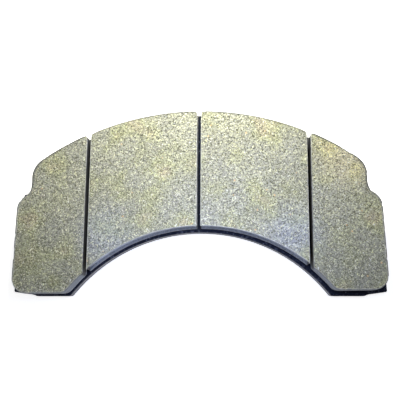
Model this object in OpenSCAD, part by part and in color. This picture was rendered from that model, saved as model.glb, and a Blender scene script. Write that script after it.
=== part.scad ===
// Disc brake pad with four friction blocks on an arched steel backing plate.
// The pad lies on its back. X runs along the pad, +Y points to the outer edge and +Z to the brake disc.
// The origin is at the middle of the plate's outline, on its back face. All sizes are in millimetres.

/* [Backing plate] */
// Length of the plate, over its two feet
plate_length = 201.6; // [175:0.2:245]
// Height of the plate, from its abutment flats to the crown of its outer edge
plate_height = 101.2; // [84:0.2:124]
// Thickness of the steel
plate_thickness = 7.6; // [5:0.1:10]
// Radius of the plate's outer edge
crown_radius = 148.4; // [124:0.2:180]
// Radius of the arch that clears the wheel hub
hub_radius = 89; // [76:1:107]
// Height of the hub arch above the abutment flats
hub_rise = 34.5; // [28:0.1:42]
// How far the shoulders lie below the crown
shoulder_drop = 45.3; // [40:0.1:54]
// How far each shoulder stands out from the neck above it
shoulder_step = 6.9; // [5:0.1:8]
// How far each foot stands out past the shoulder above it
foot_flare = 2.7; // [1:0.1:6]
// Radius where the outer edge turns into the neck
neck_corner_radius = 13; // [10:0.5:16]
// Fillet in the corner between neck and shoulder
shoulder_fillet = 3; // [1:0.5:4]
// Length of the relieved toe, at the outer end of each foot
toe_length = 12.3; // [8:0.1:14]
// How far the toe is stepped up from the abutment flat
toe_step = 0.8; // [0.4:0.1:2.4]
// Length of the slope between the flat and the toe
toe_slope = 1.4; // [0.4:0.1:3]
// How much further the toe rises towards its end
toe_rise = 1.5; // [0:0.1:2.4]

/* [Friction lining] */
// Height of the lining above the plate, with its bond and underlayer
lining_thickness = 11.4; // [6:0.1:16]
// Thickness of the underlayer between the bond and the friction blocks
underlayer_thickness = 2; // [1:0.1:3]
// Thickness of the film that bonds the underlayer to the plate
bond_thickness = 0.2; // [0.1:0.05:0.4]
// Bare rim of the plate along the outer edge
crown_rim = 0.4; // [0.2:0.1:2]
// Bare rim of the plate beside each neck
neck_rim = 0.8; // [0.2:0.1:2]
// Bare rim of the plate along the hub arch
hub_rim = 1.9; // [0.4:0.1:3]
// Bare rim beside the lining at the plate's two outer sides
side_rim = 1.9; // [1:0.1:3.5]
// Bare rim below the lining of each foot
foot_rim = 2.1; // [0.5:0.1:5]
// Radius of the lining's rounded shoulder
lining_shoulder_radius = 9; // [7.5:0.5:11]
// Radius of the hollow between the lining's neck and shoulder
lining_hollow_radius = 6; // [5:0.5:7.5]
// How far the middle of the lining's shoulder curve lies below the plate's shoulder
lining_shoulder_drop = 1.8; // [0:0.1:3]
// How much narrower the lining is at its shoulder than at its foot, each side
lining_taper = 1.1; // [0:0.1:1.5]
// Radius of the lining's outer lower corner
toe_corner_radius = 8; // [6:0.5:9.5]
// Radius of the lining's lower corner beside the hub arch
heel_corner_radius = 5.5; // [4:0.5:6.5]
// How far the moulded lining sits turned on the plate, in degrees, before the slots are cut square
lining_turn = 0.6; // [-1:0.1:1]
// How far the moulded lining sits to the left of the plate's middle
lining_shift = 0.3; // [-0.6:0.1:0.6]

/* [Slots] */
// Width of the three slots between the blocks
slot_width = 1.7; // [1.2:0.1:3]
// Distance from the centre slot to each side slot
slot_pitch = 59.8; // [50:0.1:71.8]
// How far the three slots lie to the left of the plate's middle
slot_shift = 1; // [0:0.1:1.5]

/* [Retention holes] */
// Diameter of the holes that the underlayer is moulded into
hole_diameter = 13; // [9:0.5:15]
// Distance between the two holes behind a middle block
hole_pitch = 27; // [22:0.5:32.5]
// How far each end block's upper hole lies above the shoulders
upper_hole_rise = 4; // [-2:0.5:6]
// How far each end block's lower hole lies above the abutment flats
lower_hole_rise = 22; // [18:0.5:26]
// How far each plug stops short of the plate's back face
plug_recess = 0.3; // [0:0.05:1]

/* [Hidden] */
$fn = 96;
reach = 2 * plate_length;       // longer than anything that it cuts
overcut = 1;                    // how far a cutter runs past what it cuts
arc_step = 7.5;                 // degrees between the points of a small arc

steel_black = [0.07, 0.08, 0.10];
bond_amber = [0.45, 0.33, 0.16];
underlayer_grey = [0.33, 0.36, 0.38];
friction_grey = [0.58, 0.59, 0.50];

// Heights along Y
crown_y = plate_height / 2;
flat_y = -plate_height / 2;
crown_centre_y = crown_y - crown_radius;
hub_centre_y = flat_y + hub_rise - hub_radius;
shoulder_y = crown_y - shoulder_drop;

// Half widths along X
foot_x = plate_length / 2;
shoulder_x = foot_x - foot_flare;
neck_x = shoulder_x - shoulder_step;

// Levels along Z
bond_z = plate_thickness;
underlayer_z = bond_z + bond_thickness;
friction_z = underlayer_z + underlayer_thickness;
face_z = plate_thickness + lining_thickness;

// Slot walls, from left to right: each block runs from one entry's right wall to the next one's left wall
slot_x = [-slot_shift - slot_pitch, -slot_shift, -slot_shift + slot_pitch];
function block_left(i) = i == 0 ? -reach : slot_x[i - 1] + slot_width / 2;
function block_right(i) = i == 3 ? reach : slot_x[i] - slot_width / 2;

// Retention holes: two behind each block. The middle ones sit half-way between the outer edge and the arch.
function crown_at(x) = crown_centre_y + sqrt(pow(crown_radius, 2) - pow(x, 2));
function hub_at(x) = hub_centre_y + sqrt(pow(hub_radius, 2) - pow(x, 2));
function between_arcs(x) = [x, (crown_at(x) + hub_at(x)) / 2];
middle_block_x = slot_pitch / 2;
end_hole_x = (slot_pitch + neck_x) / 2;
right_middle_holes = [
    between_arcs(middle_block_x - hole_pitch / 2),
    between_arcs(middle_block_x + hole_pitch / 2)
];
right_end_holes = [
    [end_hole_x, shoulder_y + upper_hole_rise],
    [end_hole_x, flat_y + lower_hole_rise]
];
function mirrored(points) = [for (p = points) [-p[0], p[1]]];
block_holes = [mirrored(right_end_holes), mirrored(right_middle_holes), right_middle_holes, right_end_holes];

// Points along an arc, from one angle to another in steps of about arc_step degrees
function arc(centre, radius, from, to) =
    let (steps = ceil(abs(to - from) / arc_step))
    [for (k = [0 : steps]) centre + radius * heading(from + (to - from) * k / steps)];
function heading(angle) = [cos(angle), sin(angle)];
function angle_to(a, b) = atan2(b[1] - a[1], b[0] - a[0]);

// Upper right corner of an outline: the corner arc rises from the neck and stops one step short of the
// crown's arc, which cuts the points that follow
function crown_corner(radius, half_width, corner_radius) =
    let (
        corner_x = half_width - corner_radius,
        corner = [corner_x, crown_centre_y + sqrt(pow(radius - corner_radius, 2) - pow(corner_x, 2))],
        turn = angle_to([0, crown_centre_y], corner),
        touch = [0, crown_centre_y] + (radius + overcut) * heading(turn)
    )
    concat(arc(corner, corner_radius, 0, turn - arc_step), [touch, [touch[0], reach], [0, reach]]);

// Lower right corner of the lining beside the hub arch: from a step short of the arch down to the foot
function heel_corner(arch_radius, bottom_y) =
    let (
        heel_y = bottom_y + heel_corner_radius,
        heel_reach = arch_radius + heel_corner_radius,
        heel = [sqrt(pow(heel_reach, 2) - pow(heel_y - hub_centre_y, 2)), heel_y],
        turn = angle_to(heel, [0, hub_centre_y]) + 360,
        touch = heel + (heel_corner_radius + overcut) * heading(turn)
    )
    concat([[0, touch[1]], touch], arc(heel, heel_corner_radius, turn + arc_step, 270));

// Right side of the lining from its toe to its neck. Shoulder and hollow are two arcs that touch.
function lining_side(half_width, bottom_y) =
    let (
        side_x = foot_x - side_rim,
        upper_side_x = side_x - lining_taper,
        toe = [side_x - toe_corner_radius, bottom_y + toe_corner_radius],
        sum_radius = lining_hollow_radius + lining_shoulder_radius,
        run = upper_side_x - half_width - sum_radius,
        rise = sqrt(pow(sum_radius, 2) - pow(run, 2)),
        bend_y = shoulder_y - lining_shoulder_drop,
        shoulder = [
            upper_side_x - lining_shoulder_radius,
            bend_y - rise * lining_shoulder_radius / sum_radius
        ],
        hollow = [half_width + lining_hollow_radius, shoulder[1] + rise],
        turn = angle_to(shoulder, hollow)
    )
    concat(
        arc(toe, toe_corner_radius, 270, 360),
        arc(shoulder, lining_shoulder_radius, 0, turn),
        arc(hollow, lining_hollow_radius, turn + 180, 180)
    );

module cut_to_arcs(outer_radius, arch_radius) {
    difference() {
        intersection() {
            children();
            translate([0, crown_centre_y]) circle(r = outer_radius);
        }
        translate([0, hub_centre_y]) circle(r = arch_radius);
    }
}

module plate_outline() {
    toe_x = foot_x - toe_length;
    fillet_centre = [neck_x + shoulder_fillet, shoulder_y + shoulder_fillet];
    right_side = concat(
        [
            [0, flat_y], [toe_x, flat_y], [toe_x + toe_slope, flat_y + toe_step],
            [foot_x, flat_y + toe_step + toe_rise], [shoulder_x, shoulder_y]
        ],
        arc(fillet_centre, shoulder_fillet, 270, 180),
        crown_corner(crown_radius, neck_x, neck_corner_radius)
    );
    cut_to_arcs(crown_radius, hub_radius) both_sides(right_side);
}

module lining_outline() {
    half_width = neck_x - neck_rim;
    arch_radius = hub_radius + hub_rim;
    bottom_y = flat_y + foot_rim;
    translate([-lining_shift, 0]) rotate(lining_turn)
        cut_to_arcs(crown_radius - crown_rim, arch_radius)
            both_sides(concat(
                heel_corner(arch_radius, bottom_y),
                lining_side(half_width, bottom_y),
                crown_corner(crown_radius - crown_rim, half_width, neck_corner_radius - neck_rim)
            ));
}

// One outline from its right side, listed upwards from X = 0 to X = 0
module both_sides(right_side) {
    last = len(right_side) - 1;
    polygon(concat(right_side, [for (k = [last : -1 : 0]) [-right_side[k][0], right_side[k][1]]]));
}

// Outline of one block, i = 0 to 3 from left to right
module block_outline(i) {
    intersection() {
        lining_outline();
        translate([block_left(i), -reach]) square([block_right(i) - block_left(i), 2 * reach]);
    }
}

module layer(bottom_z, top_z) {
    translate([0, 0, bottom_z]) linear_extrude(top_z - bottom_z) children();
}

module hole_cylinders(i, bottom_z, top_z) {
    for (p = block_holes[i])
        translate([p[0], p[1], bottom_z]) cylinder(d = hole_diameter, h = top_z - bottom_z);
}

module backing_plate() {
    color(steel_black) difference() {
        layer(0, plate_thickness) plate_outline();
        for (i = [0 : 3])
            hole_cylinders(i, -overcut, plate_thickness + overcut);
    }
}

module bond_film(i) {
    color(bond_amber) difference() {
        layer(bond_z, underlayer_z) block_outline(i);
        hole_cylinders(i, bond_z - overcut, underlayer_z + overcut);
    }
}

// One moulding: the layer under the block and the plugs that fill the plate's holes
module underlayer(i) {
    color(underlayer_grey) {
        layer(underlayer_z, friction_z) block_outline(i);
        hole_cylinders(i, plug_recess, underlayer_z + underlayer_thickness / 2);
    }
}

module friction_block(i) {
    color(friction_grey) layer(friction_z, face_z) block_outline(i);
}

backing_plate();
bond_film(0);  // bond_film_left_end
bond_film(1);  // bond_film_left_middle
bond_film(2);  // bond_film_right_middle
bond_film(3);  // bond_film_right_end
underlayer(0);  // underlayer_left_end
underlayer(1);  // underlayer_left_middle
underlayer(2);  // underlayer_right_middle
underlayer(3);  // underlayer_right_end
friction_block(0);  // friction_block_left_end
friction_block(1);  // friction_block_left_middle
friction_block(2);  // friction_block_right_middle
friction_block(3);  // friction_block_right_end
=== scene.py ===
"""Looks of a disc brake pad: four slotted friction blocks on an arched steel plate, lying on its back.

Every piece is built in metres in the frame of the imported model: X along the pad, +Y to the outer edge and
+Z to the disc.
"""
import math

import bpy
import numpy as np
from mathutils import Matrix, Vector
from mathutils.geometry import delaunay_2d_cdt


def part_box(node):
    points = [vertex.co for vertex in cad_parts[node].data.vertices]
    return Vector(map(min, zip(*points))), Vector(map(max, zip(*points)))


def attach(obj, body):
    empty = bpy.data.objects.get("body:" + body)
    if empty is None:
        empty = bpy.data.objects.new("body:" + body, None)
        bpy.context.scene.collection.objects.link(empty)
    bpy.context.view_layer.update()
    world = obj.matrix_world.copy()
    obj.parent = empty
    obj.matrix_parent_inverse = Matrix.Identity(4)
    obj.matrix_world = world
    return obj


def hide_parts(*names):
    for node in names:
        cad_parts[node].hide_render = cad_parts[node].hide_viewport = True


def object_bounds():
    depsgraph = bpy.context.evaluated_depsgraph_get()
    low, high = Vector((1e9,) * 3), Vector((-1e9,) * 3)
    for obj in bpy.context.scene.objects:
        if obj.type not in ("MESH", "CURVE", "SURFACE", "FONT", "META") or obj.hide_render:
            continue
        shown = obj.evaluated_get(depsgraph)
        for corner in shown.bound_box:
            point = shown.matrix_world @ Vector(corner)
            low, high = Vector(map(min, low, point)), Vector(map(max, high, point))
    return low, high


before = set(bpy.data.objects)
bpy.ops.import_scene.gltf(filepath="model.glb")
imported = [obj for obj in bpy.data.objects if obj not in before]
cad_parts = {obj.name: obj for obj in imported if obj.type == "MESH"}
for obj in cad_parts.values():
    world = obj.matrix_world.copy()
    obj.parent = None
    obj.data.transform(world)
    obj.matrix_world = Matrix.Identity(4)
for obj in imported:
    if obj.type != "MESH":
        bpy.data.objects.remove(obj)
CAD_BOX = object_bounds()

MM = 0.001

# Plate: the model's driving sizes in the box of its node
PLATE_LOW, PLATE_HIGH = [np.array(corner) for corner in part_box("backing_plate")]
FOOT_X = PLATE_HIGH[0]
CROWN_Y = PLATE_HIGH[1]
FLAT_Y = PLATE_LOW[1]
CROWN_RADIUS = 148.4 * MM
HUB_RADIUS = 89 * MM
HUB_RISE = 34.5 * MM
SHOULDER_DROP = 45.3 * MM
SHOULDER_STEP = 6.9 * MM
FOOT_FLARE = 2.7 * MM
NECK_CORNER_RADIUS = 13 * MM
SHOULDER_FILLET = 3 * MM
TOE_LENGTH = 12.3 * MM
TOE_STEP = 0.8 * MM
TOE_SLOPE = 1.4 * MM
TOE_RISE = 1.5 * MM
CROWN_CENTRE = (0.0, CROWN_Y - CROWN_RADIUS)
HUB_CENTRE = (0.0, FLAT_Y + HUB_RISE - HUB_RADIUS)
SHOULDER_Y = CROWN_Y - SHOULDER_DROP
SHOULDER_X = FOOT_X - FOOT_FLARE
NECK_X = SHOULDER_X - SHOULDER_STEP

# Lining: its face, bare rims of the plate around it, the radii of its outline, and how it lies on the plate
FACE_Z = CAD_BOX[1][2]
CROWN_RIM = 0.4 * MM
NECK_RIM = 0.8 * MM
HUB_RIM = 1.9 * MM
SIDE_RIM = 1.9 * MM
FOOT_RIM = 2.1 * MM
SHOULDER_RADIUS = 9 * MM
HOLLOW_RADIUS = 6 * MM
LINING_SHOULDER_DROP = 1.8 * MM
LINING_TAPER = 1.1 * MM
TOE_RADIUS = 8 * MM
HEEL_RADIUS = 5.5 * MM
LINING_TURN = math.radians(0.6)
LINING_SHIFT = -0.3 * MM

# Retention holes behind the blocks
HOLE_RADIUS = 6.5 * MM
HOLE_PITCH = 27 * MM
SLOT_PITCH = 59.8 * MM
UPPER_HOLE_RISE = 4 * MM
LOWER_HOLE_RISE = 22 * MM
PLUG_RECESS = 0.3 * MM

BLOCKS = ["left_end", "left_middle", "right_middle", "right_end"]


# ---------------------------------------------------------------- noise and curves

NOISE_CELLS = 256                       # lattice points along each side of a noise
NOISE_START = 900.0                     # keeps lattice places above zero everywhere on the pad


def value_noise(x, y, size, seed):
    """Smooth random values from 0 to 1: random numbers on a square lattice of the given size, which repeats
    after NOISE_CELLS of them, joined by the curve 3t^2 - 2t^3."""
    table = np.random.default_rng(seed).random((NOISE_CELLS, NOISE_CELLS))
    u = np.asarray(x) / size + NOISE_START
    v = np.asarray(y) / size + NOISE_START
    i = np.floor(u).astype(int)
    j = np.floor(v).astype(int)
    s = (u - i) ** 2 * (3 - 2 * (u - i))
    t = (v - j) ** 2 * (3 - 2 * (v - j))
    i, after_i = i % NOISE_CELLS, (i + 1) % NOISE_CELLS
    j, after_j = j % NOISE_CELLS, (j + 1) % NOISE_CELLS
    low = table[i, j] * (1 - s) + table[after_i, j] * s
    high = table[i, after_j] * (1 - s) + table[after_i, after_j] * s
    return low * (1 - t) + high * t


def layered_noise(x, y, size, octaves, seed):
    """Value noise summed over octaves, each half the size and half the height of the one before it, and
    scaled to run from 0 to 1."""
    layers = [value_noise(x, y, size / 2 ** k, seed + k) / 2 ** k for k in range(octaves)]
    return sum(layers) / sum(1 / 2 ** k for k in range(octaves))


def smooth_step(value, low, high):
    """0 below low, 1 above high, and the curve 3t^2 - 2t^3 between them."""
    t = np.clip((value - low) / (high - low), 0, 1)
    return t * t * (3 - 2 * t)


def heading(angle):
    """Unit vectors that point at the given angles, anticlockwise from +X."""
    return np.stack([np.cos(angle), np.sin(angle)], axis=-1)


def arc(centre, radius, start, end, spacing=0.25 * MM):
    """Points on a circle from angle start to angle end, about spacing apart."""
    steps = max(3, int(abs(end - start) * radius / spacing) + 1)
    return np.asarray(centre) + radius * heading(np.linspace(start, end, steps))


def angle_to(a, b):
    """Angle of the line from point a to point b."""
    return math.atan2(b[1] - a[1], b[0] - a[0])


def turned(points):
    """Points of the lining turned about the origin and shifted, as the lining lies on the plate."""
    c, s = math.cos(LINING_TURN), math.sin(LINING_TURN)
    return np.asarray(points) @ np.array([[c, s], [-s, c]]) + [LINING_SHIFT, 0.0]


def resampled(loop, spacing):
    """A closed loop with its points spread evenly along its length, about spacing apart."""
    closed = np.vstack([loop, loop[:1]])
    length = np.concatenate([[0], np.cumsum(np.linalg.norm(np.diff(closed, axis=0), axis=1))])
    at = np.linspace(0, length[-1], int(round(length[-1] / spacing)), endpoint=False)
    return np.stack([np.interp(at, length, closed[:, k]) for k in (0, 1)], axis=1)


def softened(loop, passes):
    """A closed loop whose points were averaged with their two neighbours, passes times, so that its sharp
    corners go round."""
    for _ in range(passes):
        loop = (np.roll(loop, 1, axis=0) + 2 * loop + np.roll(loop, -1, axis=0)) / 4
    return loop


def outward(loop, reach=1):
    """Unit normals of a closed anticlockwise loop, pointing out of it: the line between the neighbours reach
    points away on each side, turned clockwise by a right angle."""
    along = np.roll(loop, -reach, axis=0) - np.roll(loop, reach, axis=0)
    along = along / np.linalg.norm(along, axis=1)[:, None]
    return np.stack([along[:, 1], -along[:, 0]], axis=1)


# ---------------------------------------------------------------- outlines

def crown_side(radius, half_width, corner_radius):
    """From the neck up the corner arc and along the crown to X = 0: two circles that touch."""
    corner_x = half_width - corner_radius
    corner = (corner_x, CROWN_CENTRE[1] + math.sqrt((radius - corner_radius) ** 2 - corner_x ** 2))
    turn = angle_to(CROWN_CENTRE, corner)
    return np.vstack([arc(corner, corner_radius, 0, turn), arc(CROWN_CENTRE, radius, turn, math.pi / 2)[1:]])


def mirrored_loop(right_side):
    """A closed anticlockwise loop from its right side, listed from the hub arch's top round to the crown's,
    and the same points mirrored in X."""
    return np.vstack([right_side, (right_side[::-1] * [-1, 1])[1:-1]])


def plate_loop():
    """Outline of the plate: hub arch, flat, stepped toe, flared side, shoulder, fillet, corner and crown."""
    toe_x = FOOT_X - TOE_LENGTH
    heel_angle = math.asin((FLAT_Y - HUB_CENTRE[1]) / HUB_RADIUS)
    fillet = (NECK_X + SHOULDER_FILLET, SHOULDER_Y + SHOULDER_FILLET)
    return mirrored_loop(np.vstack([
        arc(HUB_CENTRE, HUB_RADIUS, math.pi / 2, heel_angle),
        [(toe_x, FLAT_Y), (toe_x + TOE_SLOPE, FLAT_Y + TOE_STEP), (FOOT_X, FLAT_Y + TOE_STEP + TOE_RISE)],
        [(SHOULDER_X, SHOULDER_Y)],
        arc(fillet, SHOULDER_FILLET, 1.5 * math.pi, math.pi),
        crown_side(CROWN_RADIUS, NECK_X, NECK_CORNER_RADIUS),
    ]))


def lining_loop():
    """Outline of the whole lining before it is turned: hub arch, heel, foot, toe, shoulder, hollow, neck,
    corner and crown. The hub arch touches the heel's arc, the shoulder's the hollow's, and the corner's the
    crown's."""
    half_width = NECK_X - NECK_RIM
    arch_radius = HUB_RADIUS + HUB_RIM
    bottom_y = FLAT_Y + FOOT_RIM
    side_x = FOOT_X - SIDE_RIM
    upper_side_x = side_x - LINING_TAPER
    heel_y = bottom_y + HEEL_RADIUS
    heel = (math.sqrt((arch_radius + HEEL_RADIUS) ** 2 - (heel_y - HUB_CENTRE[1]) ** 2), heel_y)
    heel_turn = angle_to(heel, HUB_CENTRE) + 2 * math.pi
    toe = (side_x - TOE_RADIUS, bottom_y + TOE_RADIUS)
    both = HOLLOW_RADIUS + SHOULDER_RADIUS
    rise = math.sqrt(both ** 2 - (upper_side_x - half_width - both) ** 2)
    shoulder = (
        upper_side_x - SHOULDER_RADIUS,
        SHOULDER_Y - LINING_SHOULDER_DROP - rise * SHOULDER_RADIUS / both,
    )
    hollow = (half_width + HOLLOW_RADIUS, shoulder[1] + rise)
    turn = angle_to(shoulder, hollow)
    return mirrored_loop(np.vstack([
        arc(HUB_CENTRE, arch_radius, math.pi / 2, heel_turn - math.pi),
        arc(heel, HEEL_RADIUS, heel_turn, 1.5 * math.pi)[1:],
        arc(toe, TOE_RADIUS, 1.5 * math.pi, 2 * math.pi),
        arc(shoulder, SHOULDER_RADIUS, 0, turn),
        arc(hollow, HOLLOW_RADIUS, turn + math.pi, math.pi)[1:],
        crown_side(CROWN_RADIUS - CROWN_RIM, half_width, NECK_CORNER_RADIUS - NECK_RIM),
    ]))


def height_on_circle(x, centre, radius):
    """Height at x of the upper half of one of the lining's circles, whose middle turns with the lining."""
    middle = turned([centre])[0]
    return middle[1] + np.sqrt(radius ** 2 - (x - middle[0]) ** 2)


ARCH_CORNER_PASSES = 40                 # softening of every corner of a block's outline
CROWN_CORNER_PASSES = 260               # further softening of the corners at the outer edge
WORN_FROM_TO = (18 * MM, 32 * MM)       # heights along Y between which the further softening sets in


def block_loop(i, spacing=0.15 * MM):
    """Outline of block i: the turned lining between two slot walls, which run along Y, with its corners
    softened. The corners at the outer edge are worn rounder than those at the hub arch."""
    low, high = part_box("friction_block_" + BLOCKS[i])
    lower = lambda x: height_on_circle(x, HUB_CENTRE, HUB_RADIUS + HUB_RIM)
    upper = lambda x: height_on_circle(x, CROWN_CENTRE, CROWN_RADIUS - CROWN_RIM)
    if i in (1, 2):
        x = np.linspace(low[0], high[0], 200)
        loop = np.vstack([np.stack([x, lower(x)], 1), np.stack([x, upper(x)], 1)[::-1]])
    else:
        wall_x = high[0] if i == 0 else low[0]
        whole = turned(resampled(lining_loop(), spacing))
        beyond = whole[:, 0] < wall_x if i == 0 else whole[:, 0] > wall_x
        first = int(np.argmax(beyond & ~np.roll(beyond, 1)))
        side = np.roll(whole, -first, axis=0)[:int(beyond.sum())]
        bottom, top = [wall_x, lower(wall_x)], [wall_x, upper(wall_x)]
        loop = np.vstack([[top], side, [bottom]] if i == 0 else [[bottom], side, [top]])
    sharp = softened(resampled(loop, spacing), ARCH_CORNER_PASSES)
    worn = softened(sharp, CROWN_CORNER_PASSES)
    return sharp + smooth_step(sharp[:, 1:], *WORN_FROM_TO) * (worn - sharp)


def hole_centres(i):
    """The two retention holes behind block i, as the model places them."""
    if i in (1, 2):
        xs = [SLOT_PITCH / 2 - HOLE_PITCH / 2, SLOT_PITCH / 2 + HOLE_PITCH / 2]
        crown = [CROWN_CENTRE[1] + math.sqrt(CROWN_RADIUS ** 2 - x ** 2) for x in xs]
        hub = [HUB_CENTRE[1] + math.sqrt(HUB_RADIUS ** 2 - x ** 2) for x in xs]
        centres = [(x, (c + h) / 2) for x, c, h in zip(xs, crown, hub)]
    else:
        x = (SLOT_PITCH + NECK_X) / 2
        centres = [(x, SHOULDER_Y + UPPER_HOLE_RISE), (x, FLAT_Y + LOWER_HOLE_RISE)]
    side = -1 if i < 2 else 1
    return [(side * x, y) for x, y in centres]


# ---------------------------------------------------------------- meshes

def make_piece(name, verts, faces, material, masks=None):
    """A smooth-shaded mesh object from one array of points and a list of face arrays, with a named value per
    point for each mask."""
    mesh = bpy.data.meshes.new(name)
    corners = np.concatenate([np.asarray(f).ravel() for f in faces])
    sizes = np.concatenate([np.full(len(f), np.asarray(f).shape[1]) for f in faces])
    mesh.vertices.add(len(verts))
    mesh.vertices.foreach_set("co", np.asarray(verts, dtype=np.float32).ravel())
    mesh.loops.add(len(corners))
    mesh.loops.foreach_set("vertex_index", corners.astype(np.int32))
    mesh.polygons.add(len(sizes))
    mesh.polygons.foreach_set("loop_start", np.concatenate([[0], np.cumsum(sizes)[:-1]]).astype(np.int32))
    mesh.polygons.foreach_set("use_smooth", np.full(len(sizes), True))
    mesh.update(calc_edges=True)
    for mask, values in (masks or {}).items():
        layer = mesh.attributes.new(mask, "FLOAT", "POINT")
        layer.data.foreach_set("value", np.asarray(values, dtype=np.float32))
    mesh.validate()
    mesh.materials.append(material)
    piece = bpy.data.objects.new(name, mesh)
    bpy.context.collection.objects.link(piece)
    return piece


def band_faces(rings, count, first=0):
    """Quads between successive closed rings of count points each, turned so that they face outwards when the
    rings run anticlockwise and climb down. The first ring's points start at index first."""
    k = np.arange(rings - 1)[:, None] * count + first
    j = np.arange(count)[None, :]
    after = (j + 1) % count
    return np.stack([k + j, k + count + j, k + count + after, k + after], axis=-1).reshape(-1, 4)


# Distances from a grid's ends to the lines that follow them
END_STEPS = np.array([0.02, 0.07, 0.14, 0.24, 0.38, 0.56, 0.8]) * MM


def edge_steps(low, high, spacing):
    """Steps from low to high that are short near both ends and spacing long between."""
    middle = np.linspace(low + END_STEPS[-1], high - END_STEPS[-1], int((high - low) / spacing))
    return np.concatenate([low + END_STEPS[:-1], middle, high - END_STEPS[:-1][::-1]])


def filled_grid(loop, axis, spacing):
    """A grid of points that fills a loop: lines across it at steps along axis, each cut into equal parts.
    Returns the points as an array of lines, and about how far each one is from the loop."""
    low = int(np.argmin(loop[:, axis]))
    ring = np.roll(loop, -low, axis=0)
    high = int(np.argmax(ring[:, axis]))
    going, coming = ring[:high + 1], np.vstack([ring[high:], ring[:1]])[::-1]
    at = edge_steps(ring[0, axis], ring[high, axis], spacing)
    other = 1 - axis
    a = np.interp(at, going[:, axis], going[:, other])
    b = np.interp(at, coming[:, axis], coming[:, other])
    count = int(np.max(np.abs(b - a)) / spacing)
    share = np.linspace(0, 1, count)
    across = a[:, None] + (b - a)[:, None] * share[None, :]
    grid = np.empty(across.shape + (2,))
    grid[..., axis] = at[:, None]
    grid[..., other] = across
    reach = np.minimum(np.abs(across - a[:, None]), np.abs(across - b[:, None]))
    ends = np.minimum(at - at[0], at[-1] - at)[:, None]
    return grid, np.minimum(reach, ends)


def grid_rim(lines, count):
    """Indices of a grid's outer points, in one closed run: along the first line, up, back and down."""
    index = np.arange(lines * count).reshape(lines, count)
    return np.concatenate([index[0, :-1], index[:-1, -1], index[-1, :0:-1], index[:0:-1, 0]])


# ---------------------------------------------------------------- friction blocks

EDGE_RADIUS = 0.65 * MM                 # worn edges along the outline
SLOT_EDGE_RADIUS = 0.15 * MM            # sharper edges where the slots were cut
FACE_CLEARANCE = 0.02 * MM              # the ground face lies this far below the model's face
FACE_SPACING = 0.42 * MM                # between the points of the ground face
SLOT_REACH = 0.9 * MM                   # how far from a slot's wall its sharper edge reaches
EDGE_BAND = 0.5 * MM                    # width of the band of the face that wears and chips
WALL_EDGE_BAND = 0.6 * MM               # height of the same band on the wall
CHIP_DEPTH = 0.25 * MM                  # deepest chip along the edges
CHIP_LIMIT = 0.8                        # a chip takes no more than this share of the edge's radius
WALL_ROUGHNESS = 0.10 * MM              # from the lowest to the highest point of the wall's grain
EDGE_STEPS = 5                          # rings round the edge
WALL_STEPS = 8                          # rings down the wall


def ground_relief(x, y, seed):
    """Depth of the ground face below its plane: soft waves, packed grains, and scattered pits where grains
    were torn out, each a noise of its own size times its own depth."""
    waves = layered_noise(x, y, 14 * MM, 2, seed) * 0.04 * MM
    grains = (1 - layered_noise(x, y, 1.3 * MM, 2, seed + 10)) * 0.11 * MM
    pits = smooth_step(value_noise(x, y, 1.1 * MM, seed + 20), 0.74, 0.95) * 0.16 * MM
    return waves + grains + pits


def near_slot(i, x):
    """1 at a slot wall of block i, falling off within a millimetre: e to minus the gap's fourth power."""
    low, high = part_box("friction_block_" + BLOCKS[i])
    slot_walls = [[high[0]], [low[0], high[0]], [low[0], high[0]], [low[0]]][i]
    gap = np.min([np.abs(x - wall_x) for wall_x in slot_walls], axis=0)
    return np.exp(-(gap / SLOT_REACH) ** 4)


def edge_radius(i, x):
    """Radius of block i's edge at x: the worn radius, and the sharper one near a slot."""
    return EDGE_RADIUS + (SLOT_EDGE_RADIUS - EDGE_RADIUS) * near_slot(i, x)


def chipped(x, y, seed):
    """Depth of the chips along the edges: CHIP_DEPTH where a noise is above a threshold."""
    return smooth_step(layered_noise(x, y, 2.4 * MM, 2, seed + 30), 0.62, 0.85) * CHIP_DEPTH


def edge_and_wall(i, rim, normal, seed):
    """Rings below a face's rim: a quarter circle outwards and down, and then a straight, slightly rough drop,
    in which the chips heal with the cube of the height. Returns the rings without the rim, and for each point
    the sine of its turn round the edge, which is 1 on the wall."""
    wall_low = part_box("friction_block_" + BLOCKS[i])[0][2]
    radius = edge_radius(i, rim[:, 0])
    chip = np.minimum(chipped(rim[:, 0], rim[:, 1], seed), CHIP_LIMIT * radius)
    rings, sides = [], []
    for angle in np.linspace(0, math.pi / 2, EDGE_STEPS + 1)[1:]:
        out = (radius - chip) * math.sin(angle)
        down = radius * (1 - math.cos(angle))
        rings.append(np.column_stack([rim[:, :2] + normal * out[:, None], rim[:, 2] - down]))
        sides.append(np.full(len(rim), math.sin(angle)))
    run = np.cumsum(np.linalg.norm(rim[:, :2] - np.roll(rim[:, :2], 1, axis=0), axis=1))
    for share in np.linspace(0, 1, WALL_STEPS + 1)[1:]:
        depth = share * (rim[:, 2] - radius - wall_low)
        rough = layered_noise(run, depth, 0.9 * MM, 2, seed + 40) * WALL_ROUGHNESS
        healed = chip * (1 - share) ** 3
        out = radius - rough * (share < 1) - healed
        rings.append(np.column_stack([rim[:, :2] + normal * out[:, None], rim[:, 2] - radius - depth]))
        sides.append(np.ones(len(rim)))
    return rings, np.concatenate(sides)


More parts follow.
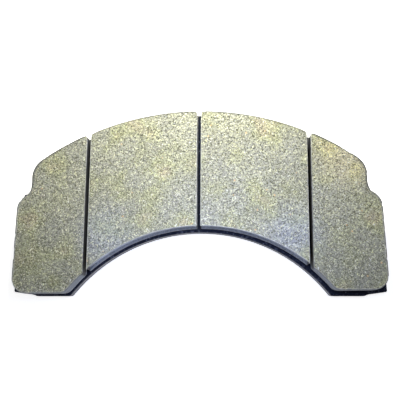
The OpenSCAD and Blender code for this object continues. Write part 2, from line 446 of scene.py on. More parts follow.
def make_friction_block(i, material):
    """One block: a grid of face points sunk by the ground relief, and its edge and wall carried round the
    grid's rim. Four masks mark the wall (side), the band along the edges (edge), the walls of the slots
    (slot), which the material paints nearly black as painted shade, and a dark line where the moulded wall
    begins (skin), partly the moulded skin and partly painted shade, which fades on walls that face the hub
    arch and on the face towards the hub arch."""
    name = "friction_block_" + BLOCKS[i]
    top_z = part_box(name)[1][2] - FACE_CLEARANCE
    seed = 100 * (i + 1)
    along_y = i in (0, 3)
    loop = block_loop(i)
    inner = loop - edge_radius(i, loop[:, 0])[:, None] * outward(loop, 3)
    grid, reach = filled_grid(inner, 1 if along_y else 0, FACE_SPACING)
    lines, count = grid.shape[:2]
    x, y = grid[..., 0].ravel(), grid[..., 1].ravel()
    fade = np.exp(-(reach.ravel() / EDGE_BAND) ** 2)
    z = top_z - ground_relief(x, y, seed) - chipped(x, y, seed) * fade
    face = np.stack([x, y, z], axis=1)

    rim = grid_rim(lines, count)
    index = np.arange(lines * count).reshape(lines, count)
    quads = np.stack([index[:-1, :-1], index[1:, :-1], index[1:, 1:], index[:-1, 1:]], axis=-1).reshape(-1, 4)
    if along_y:
        rim, quads = rim[::-1], quads[:, ::-1]
    normal = outward(face[rim][:, :2], 3)
    rings, sides = edge_and_wall(i, face[rim], normal, seed)
    wall = np.vstack(rings)
    verts = np.vstack([face, wall])
    hem = len(face) + np.arange(len(rim))
    joins = np.stack([rim, hem, np.roll(hem, -1), np.roll(rim, -1)], axis=-1)
    bands = band_faces(len(rings), len(rim), first=len(face))
    bottom = (len(verts) - len(rim) + np.arange(len(rim)))[::-1][None, :]

    side = np.concatenate([np.zeros(len(face)), sides])
    wall_edge = np.exp(-((top_z - wall[:, 2]) / WALL_EDGE_BAND) ** 2)
    # painted shade, partly the moulded skin: the dark edge line, weaker on walls facing the hub arch and, on
    # the face, only towards the crown
    away = np.tile(0.3 + 0.7 * smooth_step(normal[:, 1], -0.5, 0.1), len(rings))
    face_edge_shade = 0.85 * fade * smooth_step(y, -5 * MM, 10 * MM)
    skin = np.concatenate([face_edge_shade, away * smooth_step(sides, -0.1, 0.2) * wall_edge])
    by_slot = near_slot(i, verts[:, 0])
    masks = {
        "side": side,
        "edge": np.concatenate([fade * 0.6, wall_edge]),
        "skin": skin * (1 - by_slot),
        "slot": by_slot * side ** 4,
    }
    piece = make_piece(name + "_ground", verts, [quads, joins, bands, bottom], material, masks)
    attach(piece, "root")
    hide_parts(name)
    return piece


# ---------------------------------------------------------------- underlayers with their plugs

PLUG_POINTS = 72                        # round each ring of a plug
PLUG_CLEARANCE = 0.1 * MM               # keeps the rough end of a plug above the model's
PLUG_OVERLAP = 0.5 * MM                 # how far a plug reaches up into its slab
SLAB_SPACING = 0.45 * MM                # between the points round a slab


def plug_points(centre, bottom_z, top_z, seed):
    """A plug turned about its axis: rings from the middle of its sunk end out to its wall and up, on rough
    ground. Returns the rings' points, how many rings, how many points each, and the two middle points."""
    radii = np.array([0.25, 0.5, 0.72, 0.88, 0.96, 0.995, 0.995, 0.995]) * HOLE_RADIUS
    lift = np.array([0.0, 0.0, 0.02, 0.05, 0.12, 0.32, 1.5, 0.0]) * MM
    lift[-1] = top_z - bottom_z
    angle = np.linspace(0, 2 * math.pi, PLUG_POINTS, endpoint=False)
    flat = np.asarray(centre) + radii[:, None, None] * heading(angle)[None]
    rough = (layered_noise(flat[..., 0], flat[..., 1], 1.2 * MM, 3, seed) - 0.5) * 0.16 * MM
    rough[-2:] = 0
    z = bottom_z + lift[:, None] + np.clip(rough, -PLUG_CLEARANCE, PLUG_CLEARANCE) + PLUG_CLEARANCE
    rings = np.concatenate([flat, z[..., None]], axis=-1)
    ends = np.array([[centre[0], centre[1], bottom_z + PLUG_CLEARANCE], [centre[0], centre[1], top_z]])
    return rings.reshape(-1, 3), len(radii), len(angle), ends


def make_underlayer(i, material):
    """The slab under one block, as slightly rough rings round its outline between two flat ends, and its two
    moulded plugs, whose rings climb, so their faces are turned round."""
    name = "underlayer_" + BLOCKS[i]
    slab_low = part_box("bond_film_" + BLOCKS[i])[1][2]
    slab_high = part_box(name)[1][2]
    loop = resampled(block_loop(i), SLAB_SPACING)
    normal = outward(loop, 2)
    levels = np.linspace(slab_high, slab_low, 6)
    run = np.arange(len(loop)) * SLAB_SPACING
    rings = []
    for z in levels:
        rough = layered_noise(run, np.full(len(loop), z), 1.1 * MM, 2, 500 + i) * 0.12 * MM + 0.02 * MM
        rings.append(np.column_stack([loop - normal * rough[:, None], np.full(len(loop), z)]))
    verts = [np.vstack(rings)]
    count = len(loop)
    last = (len(levels) - 1) * count
    top, bottom = np.arange(count)[None, :], (last + np.arange(count))[::-1][None, :]
    faces = [band_faces(len(levels), count), top, bottom]
    start = len(verts[0])
    for k, centre in enumerate(hole_centres(i)):
        seed = 600 + 10 * i + k
        points, layers, around, ends = plug_points(centre, PLUG_RECESS, slab_low + PLUG_OVERLAP, seed)
        verts += [points, ends]
        hub, cap = start + len(points), start + len(points) + 1
        first = start + np.arange(around)
        final = start + (layers - 1) * around + np.arange(around)
        faces.append(band_faces(layers, around, first=start)[:, ::-1])
        faces.append(np.stack([np.full(around, hub), np.roll(first, -1), first], axis=-1))
        faces.append(np.stack([np.full(around, cap), final, np.roll(final, -1)], axis=-1))
        start += len(points) + 2
    piece = make_piece(name + "_moulded", np.vstack(verts), faces, material)
    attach(piece, "root")
    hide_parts(name)
    return piece


# ---------------------------------------------------------------- backing plate

ROLL_RADIUS = 0.7 * MM                  # rounded edge where the punch entered, on the friction side
BREAK_RADIUS = 0.22 * MM                # dulled edge on the back
SHEAR_SHARE = 0.45                      # share of the thickness that was sheared smooth
TORN_STEP = 0.03 * MM                   # how far in the torn band starts, below the sheared one
TORN_INSET = 0.08 * MM                  # and how far in it ends, at the back
LOOP_SPACING = 0.5 * MM                 # between the points round the plate
HOLE_POINTS = 80                        # round each hole
LATTICE_SPACING = 2.5 * MM              # between the points inside the plate's faces
SCUFF_BAND = 0.5 * MM                   # width of the scuffed band along the plate's edges


def plate_profile():
    """The plate's edge from its front face to its back, as rows of inset from the outline, height, and how
    torn it is: a quarter circle, a smooth sheared band, a torn band that leans in, a small dulled edge."""
    top, bottom = PLATE_HIGH[2], PLATE_LOW[2]
    rows = []
    for angle in np.linspace(0, math.pi / 2, 6):
        rows.append((ROLL_RADIUS * (1 - math.sin(angle)), top - ROLL_RADIUS * (1 - math.cos(angle)), 0.0))
    shear_z = top - SHEAR_SHARE * (top - bottom)
    for z in np.linspace(top - ROLL_RADIUS, shear_z, 4)[1:]:
        rows.append((0.0, z, 0.0))
    for share in np.linspace(0, 1, 7)[1:]:
        z = shear_z + (bottom + BREAK_RADIUS - shear_z) * share
        rows.append((TORN_STEP + (TORN_INSET - TORN_STEP) * share, z, 1.0))
    for angle in np.linspace(0, math.pi / 2, 4)[1:]:
        inset = TORN_INSET + BREAK_RADIUS * (1 - math.cos(angle))
        rows.append((inset, bottom + BREAK_RADIUS * (1 - math.sin(angle)), 0.3))
    return rows


def carried_profile(loop, inwards, seed):
    """The plate's edge profile carried along a loop: inwards is -1 for the outline and +1 for a hole's wall,
    whose loop runs the same way. The torn band gets a ragged surface and both bands fine upright marks."""
    normal = outward(loop, 2)
    run = np.arange(len(loop)) * np.linalg.norm(loop[1] - loop[0])
    rings, torn = [], []
    for inset, z, ragged in plate_profile():
        tear = layered_noise(run, np.full(len(loop), z), 0.8 * MM, 2, seed) * 0.16 * MM * ragged
        marks = value_noise(run, np.full(len(loop), z * 0.15), 0.5 * MM, seed + 5) * 0.03 * MM
        shift = inwards * (inset + tear + marks * (inset < ROLL_RADIUS / 2))
        rings.append(np.column_stack([loop + normal * shift[:, None], np.full(len(loop), z)]))
        torn.append(np.full(len(loop), ragged))
    return np.vstack(rings), np.concatenate(torn), len(rings)


def inside_loop(points, loop):
    """True for each point inside a closed loop: an odd number of its sides lie to the point's right."""
    x, y = points[:, 0][:, None], points[:, 1][:, None]
    a, b = loop, np.roll(loop, -1, axis=0)
    crosses = (a[None, :, 1] > y) != (b[None, :, 1] > y)
    with np.errstate(divide="ignore", invalid="ignore"):
        at = a[None, :, 0] + (y - a[None, :, 1]) * (b - a)[None, :, 0] / (b - a)[None, :, 1]
    return (np.sum(crosses & (x < at), axis=1) % 2) == 1


def face_triangles(outline, holes, spacing):
    """Triangles that fill an outline around its holes: a staggered lattice of points spacing apart, joined to
    the loops. Returns the points, loops first, the triangles and where each loop's points start."""
    low, high = outline.min(axis=0), outline.max(axis=0)
    rows = np.arange(low[1], high[1], spacing * 0.87)
    cols = np.arange(low[0], high[0], spacing)
    lattice = np.stack(np.meshgrid(cols, rows), axis=-1)
    lattice[1::2, :, 0] += spacing / 2
    lattice = lattice.reshape(-1, 2)
    keep = inside_loop(lattice, outline)
    for loop in [outline] + holes:
        near = np.min(np.linalg.norm(lattice[:, None] - loop[None, ::2], axis=2), axis=1) < spacing * 0.6
        keep &= ~near
    for loop in holes:
        keep &= ~inside_loop(lattice, loop)
    loops = [outline] + holes
    sizes = [len(loop) for loop in loops]
    starts = np.concatenate([[0], np.cumsum(sizes)])
    points = np.vstack(loops + [lattice[keep]])
    edges = [(int(s + k), int(s + (k + 1) % n)) for s, n in zip(starts, sizes) for k in range(n)]
    made = delaunay_2d_cdt([Vector(p) for p in points / MM], edges, [], 0, 1e-6)
    flat = np.array([tuple(v) for v in made[0]]) * MM
    source = np.array([ids[0] for ids in made[3]])
    faces = np.array(made[2])
    centres = flat[faces].mean(axis=1)
    good = inside_loop(centres, outline)
    for loop in holes:
        good &= ~inside_loop(centres, loop)
    faces = source[faces[good]]
    a, b, c = (points[faces[:, k]] for k in range(3))
    area = (b - a)[:, 0] * (c - a)[:, 1] - (b - a)[:, 1] * (c - a)[:, 0]
    faces[area < 0] = faces[area < 0][:, ::-1]
    return points, faces, starts


def make_plate(material):
    """The plate: its edge profile carried along the outline and the holes, and two faces that join them."""
    loops = [softened(resampled(plate_loop(), LOOP_SPACING), 3)]
    angle = np.linspace(0, 2 * math.pi, HOLE_POINTS, endpoint=False)
    for i in range(4):
        loops += [np.asarray(c) + HOLE_RADIUS * heading(angle) for c in hole_centres(i)]
    verts, faces, torn_rows, firsts, lasts = [], [], [], [], []
    start = 0
    for k, loop in enumerate(loops):
        rings, torn, layers = carried_profile(loop, -1 if k == 0 else 1, 700 + 10 * k)
        quads = band_faces(layers, len(loop), first=start)
        faces.append(quads if k == 0 else quads[:, ::-1])
        verts.append(rings)
        torn_rows.append(torn)
        firsts.append(start + np.arange(len(loop)))
        lasts.append(start + (layers - 1) * len(loop) + np.arange(len(loop)))
        start += len(rings)
    for ends, level, up in ((firsts, PLATE_HIGH[2], True), (lasts, PLATE_LOW[2], False)):
        built = np.vstack(verts)
        rims = [built[end][:, :2] for end in ends]
        points, triangles, starts = face_triangles(rims[0], rims[1:], LATTICE_SPACING)
        fresh = len(points) - starts[-1]
        lookup = np.concatenate(ends + [start + np.arange(fresh)])
        verts.append(np.column_stack([points[starts[-1]:], np.full(fresh, level)]))
        torn_rows.append(np.zeros(fresh))
        triangles = lookup[triangles]
        faces.append(triangles if up else triangles[:, ::-1])
        start += fresh
    verts = np.vstack(verts)
    depth = np.minimum(PLATE_HIGH[2] - verts[:, 2], verts[:, 2] - PLATE_LOW[2])
    edge = np.zeros(len(verts))
    rim_count = sum(len(loop) for loop in loops) * len(plate_profile())
    edge[:rim_count] = np.exp(-(depth[:rim_count] / SCUFF_BAND) ** 2)
    masks = {"torn": np.concatenate(torn_rows), "edge": edge}
    piece = make_piece("backing_plate_stamped", verts, faces, material, masks)
    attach(piece, "root")
    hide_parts("backing_plate")
    return piece


# ---------------------------------------------------------------- materials

class Nodes:
    """Short calls for building a node tree: each adds a node, sets its inputs and returns its output."""

    def __init__(self, tree):
        self.tree = tree

    def add(self, kind, **values):
        node = self.tree.nodes.new(kind)
        for name, value in values.items():
            setattr(node, name, value)
        return node

    def link(self, source, target):
        self.tree.links.new(source, target)

    def put(self, target, value):
        """Links a socket, or sets a plain value."""
        if isinstance(value, bpy.types.NodeSocket):
            self.link(value, target)
        else:
            target.default_value = value

    def math(self, operation, a, b=0.0, clamp=False):
        node = self.add("ShaderNodeMath", operation=operation, use_clamp=clamp)
        self.put(node.inputs[0], a)
        self.put(node.inputs[1], b)
        return node.outputs[0]

    def remap(self, value, low, high, to_low=0.0, to_high=1.0, smooth=True):
        node = self.add("ShaderNodeMapRange", interpolation_type="SMOOTHSTEP" if smooth else "LINEAR")
        self.put(node.inputs["Value"], value)
        self.put(node.inputs["From Min"], low)
        self.put(node.inputs["From Max"], high)
        self.put(node.inputs["To Min"], to_low)
        self.put(node.inputs["To Max"], to_high)
        return node.outputs["Result"]

    def mix(self, factor, a, b, blend="MIX"):
        node = self.add("ShaderNodeMix", data_type="RGBA", blend_type=blend)
        self.put(node.inputs[0], factor)
        self.put(node.inputs[6], a)
        self.put(node.inputs[7], b)
        return node.outputs[2]

    def ramp(self, value, stops):
        node = self.add("ShaderNodeValToRGB")
        node.color_ramp.interpolation = "LINEAR"
        while len(node.color_ramp.elements) < len(stops):
            node.color_ramp.elements.new(1.0)
        for element, (at, colour) in zip(node.color_ramp.elements, stops):
            element.position = at
            element.color = colour
        self.link(value, node.inputs[0])
        return node.outputs[0]

    def noise(self, vector, size, detail=2.0, rough=0.5):
        node = self.add("ShaderNodeTexNoise")
        self.link(vector, node.inputs["Vector"])
        node.inputs["Scale"].default_value = 1 / size
        node.inputs["Detail"].default_value = detail
        node.inputs["Roughness"].default_value = rough
        return node.outputs["Fac"]

    def cell_colour(self, vector, size):
        """A random colour for each of the cells, about size apart, that fill the space."""
        node = self.add("ShaderNodeTexVoronoi", feature="F1")
        self.link(vector, node.inputs["Vector"])
        node.inputs["Scale"].default_value = 1 / size
        return node.outputs["Color"]

    def split_vector(self, vector):
        node = self.add("ShaderNodeSeparateXYZ")
        self.link(vector, node.inputs[0])
        return node.outputs[0], node.outputs[1], node.outputs[2]

    def reach(self, x, y, centre):
        """Distance of the point (x, y) from a centre."""
        point = self.add("ShaderNodeCombineXYZ")
        self.link(x, point.inputs[0])
        self.link(y, point.inputs[1])
        node = self.add("ShaderNodeVectorMath", operation="DISTANCE")
        self.link(point.outputs[0], node.inputs[0])
        node.inputs[1].default_value = (centre[0], centre[1], 0.0)
        return node.outputs["Value"]

    def split(self, colour):
        node = self.add("ShaderNodeSeparateColor")
        self.link(colour, node.inputs[0])
        return node.outputs[0], node.outputs[1], node.outputs[2]

    def bump(self, height, strength, distance):
        node = self.add("ShaderNodeBump")
        self.link(height, node.inputs["Height"])
        node.inputs["Strength"].default_value = strength
        node.inputs["Distance"].default_value = distance
        return node.outputs["Normal"]


def fleck_group():
    """Shared effect: scattered flecks. Each cell gets a random number, and the cells with a number below the
    share show a ragged fleck in their middle. Puts out the flecks' mask and a random tone for each."""
    tree = bpy.data.node_groups.new("scattered_flecks", "ShaderNodeTree")
    tree.interface.new_socket("Vector", in_out="INPUT", socket_type="NodeSocketVector")
    for given_name in ("Cells per metre", "Share", "Radius"):
        tree.interface.new_socket(given_name, in_out="INPUT", socket_type="NodeSocketFloat")
    for result_name in ("Mask", "Tone"):
        tree.interface.new_socket(result_name, in_out="OUTPUT", socket_type="NodeSocketFloat")
    n = Nodes(tree)
    given = n.add("NodeGroupInput")
    result = n.add("NodeGroupOutput")
    ragged = n.add("ShaderNodeTexNoise")
    n.link(given.outputs["Vector"], ragged.inputs["Vector"])
    n.link(n.math("MULTIPLY", given.outputs["Cells per metre"], 2.2), ragged.inputs["Scale"])
    cells = n.add("ShaderNodeTexVoronoi", feature="F1")
    n.link(given.outputs["Vector"], cells.inputs["Vector"])
    n.link(given.outputs["Cells per metre"], cells.inputs["Scale"])
    pick, tone, size = n.split(cells.outputs["Color"])
    chosen = n.math("LESS_THAN", pick, given.outputs["Share"])
    reach = n.math("MULTIPLY", given.outputs["Radius"], n.remap(size, 0.0, 1.0, 0.5, 1.2, smooth=False))
    wobble = n.math("MULTIPLY", n.math("SUBTRACT", ragged.outputs["Fac"], 0.5), 0.5)
    near = n.math("LESS_THAN", n.math("ADD", cells.outputs["Distance"], wobble), reach)
    n.link(n.math("MULTIPLY", chosen, near), result.inputs["Mask"])
    n.link(tone, result.inputs["Tone"])
    return tree


def flecks(n, group, vector, size, share, radius):
    """The shared flecks, with cells about size apart, in a share of them, each up to a radius in cells."""
    node = n.add("ShaderNodeGroup")
    node.node_tree = group
    n.link(vector, node.inputs["Vector"])
    node.inputs["Cells per metre"].default_value = 1 / size
    node.inputs["Share"].default_value = share
    node.inputs["Radius"].default_value = radius
    return node.outputs["Mask"], node.outputs["Tone"]


def new_material(name):
    """A material, the calls that build its nodes, its shader, and the piece's own coordinates."""
    material = bpy.data.materials.new(name)
    material.use_nodes = True
    n = Nodes(material.node_tree)
    shader = material.node_tree.nodes["Principled BSDF"]
    place = n.add("ShaderNodeTexCoord").outputs["Object"]
    return material, n, shader, place


def stretched(n, vector, scale, angle=0.0):
    """Coordinates that turn a pattern about Z by angle and draw it out by scale along each of its axes."""
    node = n.add("ShaderNodeMapping", vector_type="TEXTURE")
    n.link(vector, node.inputs["Vector"])
    node.inputs["Scale"].default_value = scale
    node.inputs["Rotation"].default_value = (0.0, 0.0, angle)
    return node.outputs["Vector"]


def swirled(n, place, size, amount):
    """Coordinates pushed about by a colour noise, so that a pattern laid on them loses its straight rows."""
    noise = n.add("ShaderNodeTexNoise")
    n.link(place, noise.inputs["Vector"])
    noise.inputs["Scale"].default_value = 1 / size
    pushed = n.add("ShaderNodeVectorMath", operation="MULTIPLY_ADD")
    n.link(noise.outputs["Color"], pushed.inputs[0])
    pushed.inputs[1].default_value = (amount, amount, amount)
    n.link(place, pushed.inputs[2])
    return pushed.outputs[0]


HEEL_FROM = (50 * MM, 64 * MM)          # distances along X between which the painted shade at the heels sets in
HEEL_BELOW = (-30 * MM, -8 * MM)        # heights along Y between which the painted shade fades on the heels' walls
WARM_LIGHT_CENTRE = (81 * MM, 26 * MM)         # middle of the painted pool of warm light by the right shoulder
COOL_REFLECTION_CENTRE = (50 * MM, -19 * MM)        # middle of the painted cool reflection over each half of the hub arch


def friction_material(group):
    """Ground semi-metallic compound: a grey matrix with fine grain, short bright chips of steel that lie in
    three directions, pale mineral grains, dark pits and specks, and a few brass grains. The metal shines
    towards a lamp, and the pits, the specks and the dark edge line don't. The face has painted shade at the
    heels, a painted pool of warm light by the right shoulder and a painted cool reflection over each half of
    the hub arch, and its pits and specks are painted darker towards the crown. The walls are matt, a grey
    whose blue tint is painted cool light, with painted shade at the heels and painted shade nearly black in
    the slots. The ground edges are pale, partly wear and partly a painted highlight, with a dark line that is
    partly the moulded skin and partly painted shade."""
    material, n, shader, place = new_material("friction_compound")
    side = n.add("ShaderNodeAttribute", attribute_name="side").outputs["Fac"]
    edge = n.add("ShaderNodeAttribute", attribute_name="edge").outputs["Fac"]
    skin = n.add("ShaderNodeAttribute", attribute_name="skin").outputs["Fac"]
    slot = n.add("ShaderNodeAttribute", attribute_name="slot").outputs["Fac"]

    ragged = swirled(n, place, 0.6 * MM, 0.5 * MM)
    flowing = swirled(n, place, 5 * MM, 7 * MM)
    cloud = n.noise(place, 26 * MM, 1.0)
    tint = n.noise(stretched(n, place, (1, 1, 1), 0.7), 15 * MM, 1.5, 0.45)
    matrix = n.ramp(tint, [
        (0.32, (0.385, 0.39, 0.375, 1)), (0.47, (0.40, 0.405, 0.36, 1)),
        (0.60, (0.425, 0.435, 0.315, 1)), (0.72, (0.47, 0.43, 0.34, 1)),
    ])
    matrix = n.mix(n.remap(cloud, 0.35, 0.65, 0.0, 0.4), matrix, (0.345, 0.35, 0.33, 1))
    grain, hue, _ = n.split(n.cell_colour(ragged, 0.54 * MM))
    tone = n.ramp(grain, [
        (0.0, (0.42, 0.42, 0.38, 1)), (0.18, (0.70, 0.70, 0.66, 1)), (0.42, (0.94, 0.94, 0.94, 1)),
        (0.72, (1.08, 1.08, 1.04, 1)), (0.88, (1.4, 1.4, 1.22, 1)), (1.0, (1.8, 1.8, 1.5, 1)),
    ])
    base = n.mix(1.0, matrix, tone, "MULTIPLY")
    pit, _ = flecks(n, group, stretched(n, place, (1, 1, 1), 0.9), 0.76 * MM, 0.26, 0.42)
    along, across, _ = n.split_vector(place)
    outer = n.remap(n.math("ABSOLUTE", along), *HEEL_FROM)
    # painted shade: the face darker at the heels, fading out towards the crown
    dull = n.math("MULTIPLY", outer, n.remap(across, -0.042, 0.004, 1.0, 0.0))
    base = n.mix(dull, base, (0.83, 0.84, 0.85, 1), "MULTIPLY")
    # painted warm light: the face brighter and warmer round the right shoulder
    warm = n.remap(n.reach(along, across, WARM_LIGHT_CENTRE), 0.006, 0.027, 1.0, 0.0)
    base = n.mix(warm, base, (1.42, 1.31, 1.14, 1), "MULTIPLY")
    # painted cool reflection: the face brighter and bluer over each half of the hub arch
    cool = n.remap(n.reach(n.math("ABSOLUTE", along), across, COOL_REFLECTION_CENTRE), 0.004, 0.022, 1.0, 0.0)
    base = n.mix(cool, base, (1.06, 1.12, 1.42, 1), "MULTIPLY")
    # painted shade: pits, and the specks further down, darker towards the crown, where the key light grazes
    pit_shade_to_top = n.remap(across, -0.045, 0.015, 0.6, 1.0)
    base = n.mix(n.math("MULTIPLY", pit, n.math("MULTIPLY", pit_shade_to_top, 0.9)), base, (0.08, 0.082, 0.05, 1))
    pale, pale_tone = flecks(n, group, place, 0.85 * MM, 0.13, 0.44)
    mineral = n.mix(pale_tone, (0.66, 0.67, 0.40, 1), (0.88, 0.90, 0.88, 1))
    base = n.mix(n.math("MULTIPLY", pale, 0.8), base, mineral)
    chips = None
    for angle in (0.35, 1.45, 2.5):
        lying = stretched(n, flowing, (1.45, 0.66, 1), angle)
        chip, chip_tone = flecks(n, group, lying, 0.80 * MM, 0.13, 0.40)
        steel = n.mix(chip_tone, (0.86, 0.87, 0.58, 1), (0.90, 0.91, 0.90, 1))
        base = n.mix(n.math("MULTIPLY", chip, 0.85), base, steel)
        chips = chip if chips is None else n.math("MAXIMUM", chips, chip)
    speck, _ = flecks(n, group, stretched(n, ragged, (1, 1, 1), 1.7), 0.62 * MM, 0.28, 0.42)
    base = n.mix(n.math("MULTIPLY", speck, n.math("MULTIPLY", pit_shade_to_top, 0.75)), base, (0.10, 0.11, 0.05, 1))
    brass, _ = flecks(n, group, stretched(n, place, (1, 1, 1), 2.1), 2.2 * MM, 0.02, 0.24)
    base = n.mix(n.math("MULTIPLY", brass, 0.7), base, (0.80, 0.55, 0.30, 1))

    grit = n.noise(place, 0.55 * MM, 2.0, 0.6)
    # painted cool light: the walls' blue tint, on a grey moulded wall
    wall = n.mix(n.remap(grit, 0.32, 0.68), (0.25, 0.28, 0.36, 1), (0.48, 0.53, 0.66, 1))
    # painted shade: the walls darker at the heels, fading out towards the crown
    heel = n.math("MULTIPLY", outer, n.remap(across, *HEEL_BELOW, 0.72, 0.0))
    wall = n.mix(heel, wall, (0.10, 0.11, 0.125, 1))
    # painted shade: the slot walls nearly black
    wall = n.mix(n.math("MULTIPLY", slot, 0.9), wall, (0.020, 0.020, 0.020, 1))
    base = n.mix(side, base, wall)
    # painted highlight, partly wear: a pale band along the face's edges
    rubbed_and_edge_highlight = n.math("MULTIPLY", n.math("SUBTRACT", 1.0, side), n.remap(edge, 0.2, 0.6, 0.0, 0.5))
    base = n.mix(rubbed_and_edge_highlight, base, (0.74, 0.76, 0.80, 1))
    # dark edge line: partly the moulded skin, partly painted shade
    base = n.mix(skin, base, (0.055, 0.058, 0.060, 1))
    n.link(base, shader.inputs["Base Color"])
    dark = n.math("MAXIMUM", n.math("MAXIMUM", pit, speck), skin)
    flat = n.math("MULTIPLY", n.math("SUBTRACT", 1.0, side), n.math("SUBTRACT", 1.0, dark))
    shine = n.math("ADD", 0.32, n.math("MULTIPLY", chips, 0.34))
    n.link(n.math("MULTIPLY", flat, shine), shader.inputs["Metallic"])
    rough = n.math("SUBTRACT", n.remap(hue, 0.0, 1.0, 0.44, 0.60), n.math("MULTIPLY", chips, 0.08))
    n.link(n.mix(flat, (0.85, 0.85, 0.85, 1), rough), shader.inputs["Roughness"])
    height = n.math("ADD", n.math("MULTIPLY", grit, 0.4), n.math("MULTIPLY", grain, 0.4))
    height = n.math("ADD", height, n.math("MULTIPLY", chips, 0.25))
    height = n.math("SUBTRACT", height, n.math("MULTIPLY", pit, 0.8))
    n.link(n.bump(height, 0.85, 0.15 * MM), shader.inputs["Normal"])
    return material


def underlayer_material(group):
    """Moulded underlayer: blue-grey, gritty and dull, a shade darker than the walls above it, with a few
    grains."""
    material, n, shader, place = new_material("underlayer_moulding")
    grit = n.noise(place, 0.8 * MM, 3.0, 0.6)
    base = n.mix(n.remap(grit, 0.3, 0.7), (0.22, 0.245, 0.31, 1), (0.42, 0.46, 0.56, 1))
    grain, tone = flecks(n, group, place, 1.3 * MM, 0.22, 0.35)
    grain_tone = n.mix(tone, (0.14, 0.145, 0.16, 1), (0.48, 0.48, 0.46, 1))
    base = n.mix(n.math("MULTIPLY", grain, 0.7), base, grain_tone)
    n.link(base, shader.inputs["Base Color"])
    n.link(n.remap(grit, 0.2, 0.8, 0.65, 0.9), shader.inputs["Roughness"])
    height = n.math("ADD", grit, n.math("MULTIPLY", grain, 0.4))
    n.link(n.bump(height, 0.7, 0.15 * MM), shader.inputs["Normal"])
    return material


def bond_material():
    """Cured adhesive film: dark brown and slightly glossy."""
    material, n, shader, place = new_material("bond_film")
    grit = n.noise(place, 1.5 * MM, 3.0, 0.6)
    n.link(n.mix(grit, (0.020, 0.017, 0.014, 1), (0.075, 0.055, 0.035, 1)), shader.inputs["Base Color"])
    n.link(n.remap(grit, 0.2, 0.8, 0.35, 0.6), shader.inputs["Roughness"])
    n.link(n.bump(grit, 0.4, 0.08 * MM), shader.inputs["Normal"])
    return material


def plate_material(group):
    """Blue-black powder coat over stamped steel: fine orange peel, faint dust, coat thinned and scuffed on
    the edges, a coarser skin over the torn band, and a duller front face."""
    material, n, shader, place = new_material("powder_coated_steel")
    torn = n.add("ShaderNodeAttribute", attribute_name="torn").outputs["Fac"]
    edge = n.add("ShaderNodeAttribute", attribute_name="edge").outputs["Fac"]
    peel = n.noise(place, 0.9 * MM, 2.0, 0.5)
    broad = n.noise(place, 22 * MM, 3.0, 0.55)
    scuff = n.noise(place, 1.6 * MM, 4.0, 0.7)
    coat = n.mix(n.remap(broad, 0.3, 0.7), (0.007, 0.011, 0.028, 1), (0.014, 0.019, 0.042, 1))
    dust, tone = flecks(n, group, place, 1.1 * MM, 0.16, 0.30)
    dust_tone = n.mix(tone, (0.05, 0.06, 0.11, 1), (0.22, 0.24, 0.34, 1))
    coat = n.mix(n.math("MULTIPLY", dust, 0.45), coat, dust_tone)
    rubbed_and_edge_highlight = n.math("MULTIPLY", n.remap(edge, 0.25, 0.95), n.remap(scuff, 0.52, 0.66))
    coat = n.mix(n.math("MULTIPLY", rubbed_and_edge_highlight, 0.75), coat, (0.16, 0.175, 0.24, 1))
    n.link(coat, shader.inputs["Base Color"])
    n.link(n.math("MULTIPLY", rubbed_and_edge_highlight, 0.6), shader.inputs["Metallic"])
    rough = n.remap(n.math("ADD", n.math("MULTIPLY", torn, 0.25), broad), 0.2, 1.0, 0.34, 0.62)
    _, _, upward = n.split_vector(place)
    front = n.remap(upward, PLATE_HIGH[2] - 0.3 * MM, PLATE_HIGH[2])
    n.link(n.math("ADD", rough, n.math("MULTIPLY", front, 0.3), clamp=True), shader.inputs["Roughness"])
    n.link(n.remap(front, 0.0, 1.0, 0.5, 0.2), shader.inputs["Specular IOR Level"])
    height = n.math("ADD", peel, n.math("MULTIPLY", n.math("MULTIPLY", scuff, torn), 2.2))
    n.link(n.bump(height, 0.45, 0.06 * MM), shader.inputs["Normal"])
    return material


# ---------------------------------------------------------------- camera, floor and light

CAMERA_TILT = math.radians(9.8)         # from straight above the friction face, towards the hub arch
CAMERA_DISTANCE = 326 * MM              # from the friction face, where the view's centre meets it
CAMERA_SIDE = 12 * MM                   # how far the camera stands to the right, with its lens shifted back
AIM = Vector((-0.25 * MM, 0.08 * MM, FACE_Z))
LENS_TO_SENSOR = 1.525                  # focal length over the sensor's width


def make_camera():
    """The camera, tilted but neither panned nor rolled. Its shift keeps AIM in the middle of the view."""
    data = bpy.data.cameras.new("camera")
    data.sensor_width = 36.0
    data.lens = LENS_TO_SENSOR * data.sensor_width
    data.clip_start = 0.01
    data.clip_end = 20.0
    camera = bpy.data.objects.new("camera", data)
    bpy.context.collection.objects.link(camera)
    back = Vector((0.0, -math.sin(CAMERA_TILT), math.cos(CAMERA_TILT)))
    camera.location = AIM + back * CAMERA_DISTANCE + Vector((CAMERA_SIDE, 0.0, 0.0))
    data.shift_x = -CAMERA_SIDE / CAMERA_DISTANCE * LENS_TO_SENSOR
    camera.rotation_euler = (CAMERA_TILT, 0.0, 0.0)
    bpy.context.scene.camera = camera


def area_light(name, place, size, power, colour, target):
    """A square soft light at place, turned to face target."""
    data = bpy.data.lights.new(name, "AREA")
    data.shape = "SQUARE"
    data.size = size
    data.energy = power
    data.color = colour
    lamp = bpy.data.objects.new(name, data)
    lamp.location = place
    lamp.visible_camera = False
    lamp.rotation_euler = (Vector(target) - Vector(place)).to_track_quat("-Z", "Y").to_euler()
    bpy.context.collection.objects.link(lamp)


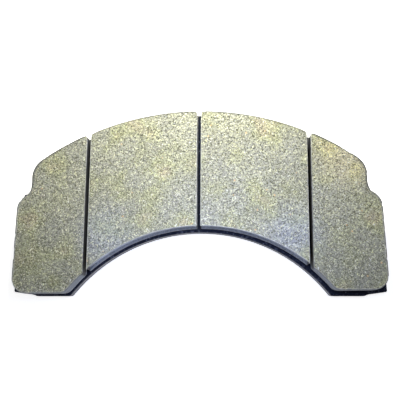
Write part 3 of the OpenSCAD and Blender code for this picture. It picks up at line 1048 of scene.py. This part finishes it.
def make_stage():
    """A white floor that glows a little, as a light table does, a surround that is white near the horizon and
    dim overhead, and three soft lamps: a warm one behind the pad and two cool ones above it."""
    size = 6.0
    mesh = bpy.data.meshes.new("floor")
    corners = [(-size, -size, 0), (size, -size, 0), (size, size, 0), (-size, size, 0)]
    mesh.from_pydata(corners, [], [(0, 1, 2, 3)])
    floor = bpy.data.objects.new("floor", mesh)
    bpy.context.collection.objects.link(floor)
    material = bpy.data.materials.new("studio_floor")
    material.use_nodes = True
    shader = material.node_tree.nodes["Principled BSDF"]
    shader.inputs["Base Color"].default_value = (0.93, 0.93, 0.93, 1)
    shader.inputs["Roughness"].default_value = 0.9
    shader.inputs["Emission Color"].default_value = (1, 1, 1, 1)
    shader.inputs["Emission Strength"].default_value = 0.85
    mesh.materials.append(material)

    world = bpy.data.worlds.new("studio")
    world.use_nodes = True
    bpy.context.scene.world = world
    n = Nodes(world.node_tree)
    direction = n.add("ShaderNodeSeparateXYZ")
    n.link(n.add("ShaderNodeTexCoord").outputs["Generated"], direction.inputs[0])
    background = world.node_tree.nodes["Background"]
    background.inputs["Color"].default_value = (0.97, 0.98, 1.0, 1)
    n.link(n.remap(direction.outputs["Z"], 0.08, 0.45, 1.0, 0.06), background.inputs["Strength"])
    area_light("key_behind", place=(0.0, 0.17, 0.175), size=0.06, power=0.66,
               colour=(1.0, 0.965, 0.74), target=(0.0, 0.02, FACE_Z))
    area_light("overhead", place=(0.075, 0.005, 0.34), size=0.05, power=0.11,
               colour=(0.48, 0.60, 1.0), target=(0.045, -0.02, FACE_Z))
    area_light("arch_fill", place=(0.004, -0.012, 0.12), size=0.05, power=0.054,
               colour=(0.60, 0.69, 1.0), target=(0.002, 0.0, FACE_Z))
    bpy.context.scene.view_settings.view_transform = "Standard"


# ---------------------------------------------------------------- the whole pad

FLECKS = fleck_group()
FRICTION = friction_material(FLECKS)
UNDERLAYER = underlayer_material(FLECKS)
BOND = bond_material()
COAT = plate_material(FLECKS)

make_camera()
make_stage()
make_plate(COAT)
for index in range(len(BLOCKS)):
    make_friction_block(index, FRICTION)
    make_underlayer(index, UNDERLAYER)
    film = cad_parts["bond_film_" + BLOCKS[index]]
    film.data.materials.clear()
    film.data.materials.append(BOND)
